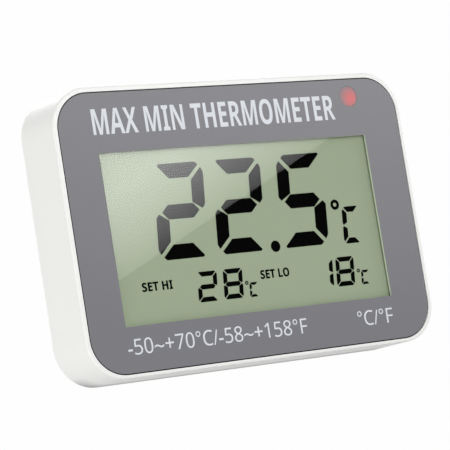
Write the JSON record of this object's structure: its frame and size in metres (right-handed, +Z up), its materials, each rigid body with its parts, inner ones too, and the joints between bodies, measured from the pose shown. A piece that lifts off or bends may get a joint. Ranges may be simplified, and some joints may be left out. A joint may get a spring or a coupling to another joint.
{
  "type": "maximum minimum thermometer",
  "caption": "Digital high and low thermometer with a flush grey panel, large liquid crystal display, alarm lamp, rear stand, keyhole, magnets and battery door.",
  "frame": {"origin": "bottom centre of the overall box, at half depth", "axes": "+X to the right of someone facing the display, -Y out of the display, +Z up"},
  "size_m": [0.11, 0.0164, 0.0748],
  "materials": {
    "white_case": "satin moulded",
    "grey_panel": "matte printed film",
    "clear_window": "clear gloss",
    "red_spot": "translucent",
    "lcd": "reflective display",
    "white_inner": "moulded",
    "adhesive": "tape",
    "elastomer": "soft",
    "board": "solder mask",
    "black_plastic": "moulded",
    "epoxy": "cured resin",
    "component": "ceramic and resin",
    "copper": "enamelled",
    "brass": "bare",
    "ceramic": "silvered ceramic",
    "nickel": "nickel plated",
    "steel": "zinc plated",
    "cell": "labelled can",
    "button_grey": "soft matte",
    "red_wire": "insulation",
    "black_wire": "insulation"
  },
  "bodies": {
    "case": {"front_case": "white_case", "rear_cover": "white_case", "panel_overlay": "grey_panel", "overlay_adhesive": "adhesive", "display_window": "clear_window", "led_window": "red_spot", "lcd_front_polariser": "lcd", "lcd_front_glass": "clear_window", "lcd_rear_glass": "clear_window", "lcd_rear_reflector": "lcd", "lcd_support": "white_inner", "zebra_connector": "elastomer", "main_board": "board", "controller_blob": "epoxy", "alarm_led": "red_spot", "chip_resistors": "component", "chip_capacitors": "component", "crystal": "nickel", "buzzer_coil": "copper", "transistor": "component", "temperature_sensor": "epoxy", "slider_body": "steel", "buzzer_disc": "brass", "buzzer_ceramic": "ceramic", "battery_cell_a": "cell", "battery_cell_b": "cell", "case_screws": "steel", "board_screws": "steel", "contact_positive": "nickel", "contact_negative": "nickel", "contact_bridge": "nickel", "contact_spring_a": "nickel", "contact_spring_b": "nickel", "battery_wire_red": "red_wire", "battery_wire_black": "black_wire", "buzzer_wire_red": "red_wire", "buzzer_wire_black": "black_wire", "magnet_left": "nickel", "magnet_right": "nickel", "switch_maxmin": "steel", "switch_set": "steel", "switch_up": "steel", "switch_down": "steel", "switch_units": "steel"},
    "battery_door": {"battery_door": "white_case"},
    "kickstand": {"kickstand": "white_case"},
    "slider_knob": {"slider_knob": "button_grey"},
    "button_maxmin": {"button_maxmin": "button_grey", "plunger_maxmin": "black_plastic"},
    "button_set": {"button_set": "button_grey", "plunger_set": "black_plastic"},
    "button_up": {"button_up": "button_grey", "plunger_up": "black_plastic"},
    "button_down": {"button_down": "button_grey", "plunger_down": "black_plastic"},
    "button_units": {"button_units": "button_grey", "plunger_units": "black_plastic"}
  },
  "joints": [
    {"name": "battery_door_hinge", "type": "hinge", "parent": "case", "child": "battery_door", "pos_m": [-0.036, 0.0081, 0.011], "axis": [-1, 0, 0], "range_deg": [0, 75]},
    {"name": "kickstand_hinge", "type": "hinge", "parent": "case", "child": "kickstand", "pos_m": [0, 0.0062, 0.041], "axis": [1, 0, 0], "range_deg": [0, 45]},
    {"name": "alarm_slide", "type": "slide", "parent": "case", "child": "slider_knob", "axis": [1, 0, 0], "range_m": [0, 0.002]},
    {"name": "press_maxmin", "type": "slide", "parent": "case", "child": "button_maxmin", "axis": [0, -1, 0], "range_m": [0, 0.0003], "stiffness_N_per_m": 1000, "springref_m": -0.0005},
    {"name": "press_set", "type": "slide", "parent": "case", "child": "button_set", "axis": [0, -1, 0], "range_m": [0, 0.0003], "stiffness_N_per_m": 1000, "springref_m": -0.0005},
    {"name": "press_up", "type": "slide", "parent": "case", "child": "button_up", "axis": [0, -1, 0], "range_m": [0, 0.0003], "stiffness_N_per_m": 1000, "springref_m": -0.0005},
    {"name": "press_down", "type": "slide", "parent": "case", "child": "button_down", "axis": [0, -1, 0], "range_m": [0, 0.0003], "stiffness_N_per_m": 1000, "springref_m": -0.0005},
    {"name": "press_units", "type": "slide", "parent": "case", "child": "button_units", "axis": [0, -1, 0], "range_m": [0, 0.0003], "stiffness_N_per_m": 1000, "springref_m": -0.0005}
  ]
}
